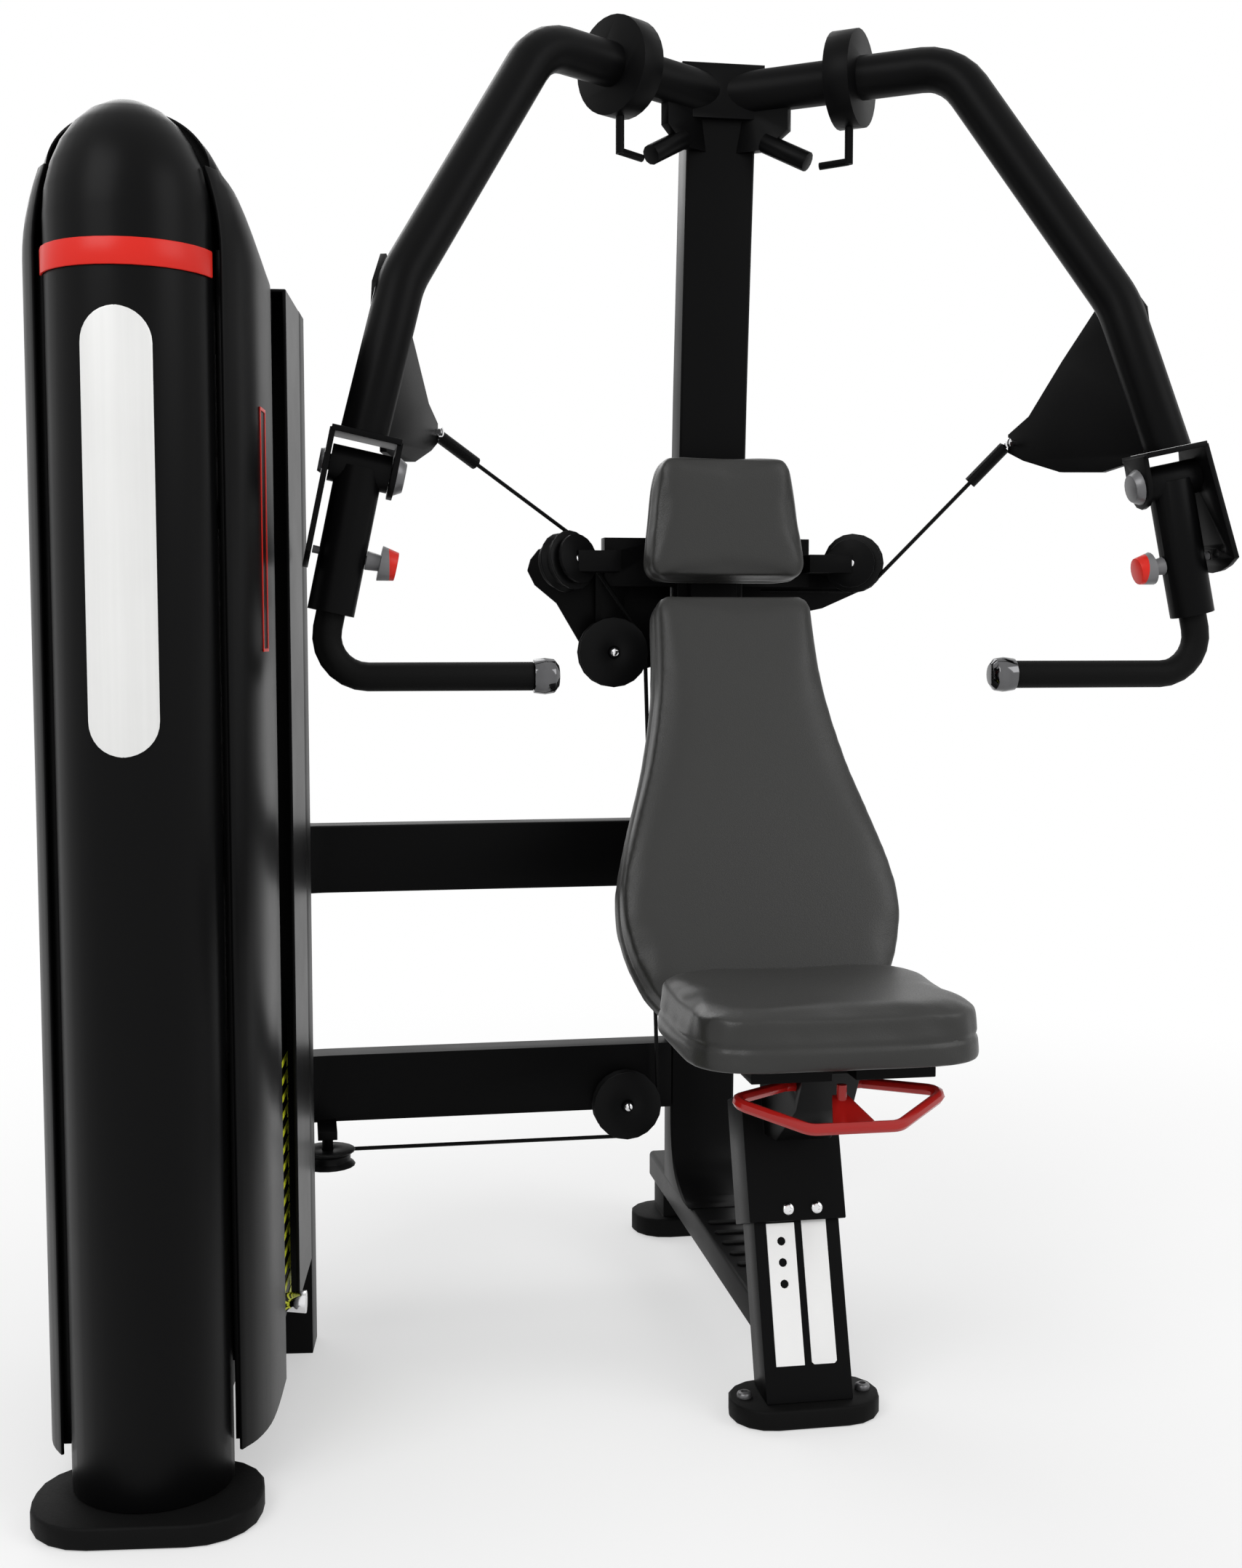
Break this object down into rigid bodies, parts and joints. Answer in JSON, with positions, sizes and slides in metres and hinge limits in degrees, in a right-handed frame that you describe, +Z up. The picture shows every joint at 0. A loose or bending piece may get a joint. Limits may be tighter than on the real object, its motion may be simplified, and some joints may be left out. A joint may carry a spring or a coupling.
{
  "type": "converging press machine",
  "caption": "Selectorised gym press machine: reclined bench, overhead swinging arms with adjustable handles, cables and a covered weight tower.",
  "frame": {"origin": "middle of the underside of the front foot, on the bench's centre plane", "axes": "+Z up, -Y the way the seated user faces, -X towards the weight tower"},
  "size_m": [1.5116, 1.0183, 1.808],
  "materials": {
    "black_paint": "black semi-gloss powder coat",
    "upholstery": "charcoal vinyl with soft sheen",
    "rubber": "black moulded rubber",
    "red_paint": "red gloss",
    "red_plastic": "red gloss",
    "chrome": "polished",
    "pulley_plastic": "dark nylon",
    "cover_plastic": "black moulded cover, semi-gloss",
    "cable": "black-coated steel cable",
    "strip": "white printed strip, bare",
    "pin_steel": "grey"
  },
  "bodies": {
    "machine_frame": {"base_beam": "black_paint", "mast": "black_paint", "rear_bow": "black_paint", "upper_beam": "black_paint", "lower_beam": "black_paint", "front_foot": "rubber", "rear_foot": "rubber", "seat_post": "black_paint", "index_strip": "strip", "back_pad": "upholstery", "head_pad": "upholstery", "pad_bracket": "black_paint", "pivot_yoke": "black_paint", "left_pulley_bracket": "black_paint", "right_pulley_bracket": "black_paint", "left_cable_run": "cable", "right_cable_run": "cable", "stack_cable": "cable", "left_cable_span": "cable", "right_cable_span": "cable", "tower_foot": "rubber", "tower_frame": "black_paint", "column_cover": "cover_plastic", "red_band": "red_plastic", "left_side_cover": "cover_plastic", "right_side_cover": "cover_plastic", "rear_hood": "cover_plastic", "front_guide_rod": "chrome", "rear_guide_rod": "chrome", "bottom_plate": "black_paint"},
    "right_press_arm": {"right_arm": "black_paint", "right_gusset": "black_paint", "right_fork": "black_paint", "right_fork_pin": "pin_steel"},
    "right_handle_unit": {"right_handle_sleeve": "black_paint", "right_handle": "rubber", "right_handle_cap": "chrome"},
    "right_knob": {"right_pull_knob": "red_plastic"},
    "left_press_arm": {"left_arm": "black_paint", "left_gusset": "black_paint", "left_fork": "black_paint", "left_fork_pin": "pin_steel"},
    "left_handle_unit": {"left_handle_sleeve": "black_paint", "left_handle": "rubber", "left_handle_cap": "chrome"},
    "left_knob": {"left_pull_knob": "red_plastic"},
    "lifted_stack": {"lifted_plates": "black_paint", "top_plate": "black_paint"},
    "weight_pin": {"selector_pin": "chrome"},
    "seat": {"seat_carriage": "black_paint", "seat_pad": "upholstery"},
    "lever": {"seat_lever": "red_paint"},
    "right_side_pulley_wheel": {"right_side_pulley": "pulley_plastic"},
    "left_side_pulley_wheel": {"left_side_pulley": "pulley_plastic"},
    "column_pulley_wheel": {"column_pulley": "pulley_plastic"},
    "beam_pulley_wheel": {"beam_pulley": "pulley_plastic"},
    "tower_side_pulley_wheel": {"tower_side_pulley": "pulley_plastic"},
    "tower_base_pulley_wheel": {"tower_base_pulley": "pulley_plastic"},
    "tower_top_pulley_wheel": {"tower_top_pulley": "pulley_plastic"}
  },
  "joints": [
    {"name": "right_arm_swing", "type": "hinge", "parent": "machine_frame", "child": "right_press_arm", "pos_m": [0, 0.51, 1.742], "axis": [-0.8191, 0.5736, 0], "range_deg": [0, 30], "deforming": ["right_cable_span"]},
    {"name": "right_handle_tilt", "type": "hinge", "parent": "right_press_arm", "child": "right_handle_unit", "pos_m": [0.531, 0.143, 1.171], "axis": [0.9781, 0, 0.2079], "range_deg": [-22, 22]},
    {"name": "right_knob_pull", "type": "slide", "parent": "right_handle_unit", "child": "right_knob", "axis": [-0.9781, 0, -0.2079], "range_m": [0, 0.012], "stiffness_N_per_m": 400, "springref_m": -0.01},
    {"name": "left_arm_swing", "type": "hinge", "parent": "machine_frame", "child": "left_press_arm", "pos_m": [0, 0.51, 1.742], "axis": [-0.8191, -0.5736, 0], "range_deg": [0, 30], "deforming": ["left_cable_span"]},
    {"name": "left_handle_tilt", "type": "hinge", "parent": "left_press_arm", "child": "left_handle_unit", "pos_m": [-0.531, 0.143, 1.171], "axis": [0.9781, 0, -0.2079], "range_deg": [-22, 22]},
    {"name": "left_knob_pull", "type": "slide", "parent": "left_handle_unit", "child": "left_knob", "axis": [0.9781, 0, -0.2079], "range_m": [0, 0.012], "stiffness_N_per_m": 400, "springref_m": -0.01},
    {"name": "stack_lift", "type": "slide", "parent": "machine_frame", "child": "lifted_stack", "axis": [0, 0, 1], "range_m": [0, 0.09], "deforming": ["stack_cable"]},
    {"name": "weight_pin_pull", "type": "slide", "parent": "lifted_stack", "child": "weight_pin", "axis": [0.9945, -0.1045, 0], "range_m": [0, 0.085]},
    {"name": "seat_slide", "type": "slide", "parent": "machine_frame", "child": "seat", "axis": [0, 0.3256, 0.9455], "range_m": [-0.08, 0]},
    {"name": "seat_lever_lift", "type": "hinge", "parent": "seat", "child": "lever", "pos_m": [0, -0.075, 0.434], "axis": [-1, 0, 0], "range_deg": [0, 12], "stiffness_Nm_per_rad": 6, "springref_deg": -8.59},
    {"name": "right_side_pulley_spin", "type": "hinge", "parent": "machine_frame", "child": "right_side_pulley_wheel", "pos_m": [0.217, 0.53, 1.075], "axis": [-0.4529, -0.8913, -0.0218], "range_deg": [0, 121]},
    {"name": "left_side_pulley_spin", "type": "hinge", "parent": "machine_frame", "child": "left_side_pulley_wheel", "pos_m": [-0.217, 0.53, 1.075], "axis": [0.5645, -0.8099, 0.1594], "range_deg": [0, 121]},
    {"name": "column_pulley_spin", "type": "hinge", "parent": "machine_frame", "child": "column_pulley_wheel", "pos_m": [-0.146, 0.556, 0.942], "axis": [0, -1, 0], "range_deg": [0, 102]},
    {"name": "beam_pulley_spin", "type": "hinge", "parent": "machine_frame", "child": "beam_pulley_wheel", "pos_m": [-0.125, 0.556, 0.256], "axis": [0, -1, 0], "range_deg": [0, 102]},
    {"name": "tower_side_pulley_spin", "type": "hinge", "parent": "machine_frame", "child": "tower_side_pulley_wheel", "pos_m": [-0.575, 0.5189, 0.2069], "axis": [0, 0, -1], "range_deg": [0, 134]},
    {"name": "tower_base_pulley_spin", "type": "hinge", "parent": "machine_frame", "child": "tower_base_pulley_wheel", "pos_m": [-0.73065, 0.26842, 0.24], "axis": [0.909, -0.4168, 0], "range_deg": [0, 150]},
    {"name": "tower_top_pulley_spin", "type": "hinge", "parent": "machine_frame", "child": "tower_top_pulley_wheel", "pos_m": [-0.75062, 0.17956, 1.262], "axis": [-0.9945, 0.1045, 0], "range_deg": [0, 85]}
  ],
  "couplings": [
    {"joint": "left_arm_swing", "follows": "right_arm_swing", "ratio": 1},
    {"joint": "stack_lift", "follows": "right_arm_swing", "m_per_rad": 0.163},
    {"joint": "right_side_pulley_spin", "follows": "right_arm_swing", "ratio": 3.9659},
    {"joint": "left_side_pulley_spin", "follows": "right_arm_swing", "ratio": 3.9659},
    {"joint": "column_pulley_spin", "follows": "right_arm_swing", "ratio": 3.3198},
    {"joint": "beam_pulley_spin", "follows": "right_arm_swing", "ratio": 3.3198},
    {"joint": "tower_side_pulley_spin", "follows": "right_arm_swing", "ratio": 4.3935},
    {"joint": "tower_base_pulley_spin", "follows": "right_arm_swing", "ratio": 4.9245},
    {"joint": "tower_top_pulley_spin", "follows": "right_arm_swing", "ratio": 2.758}
  ]
}
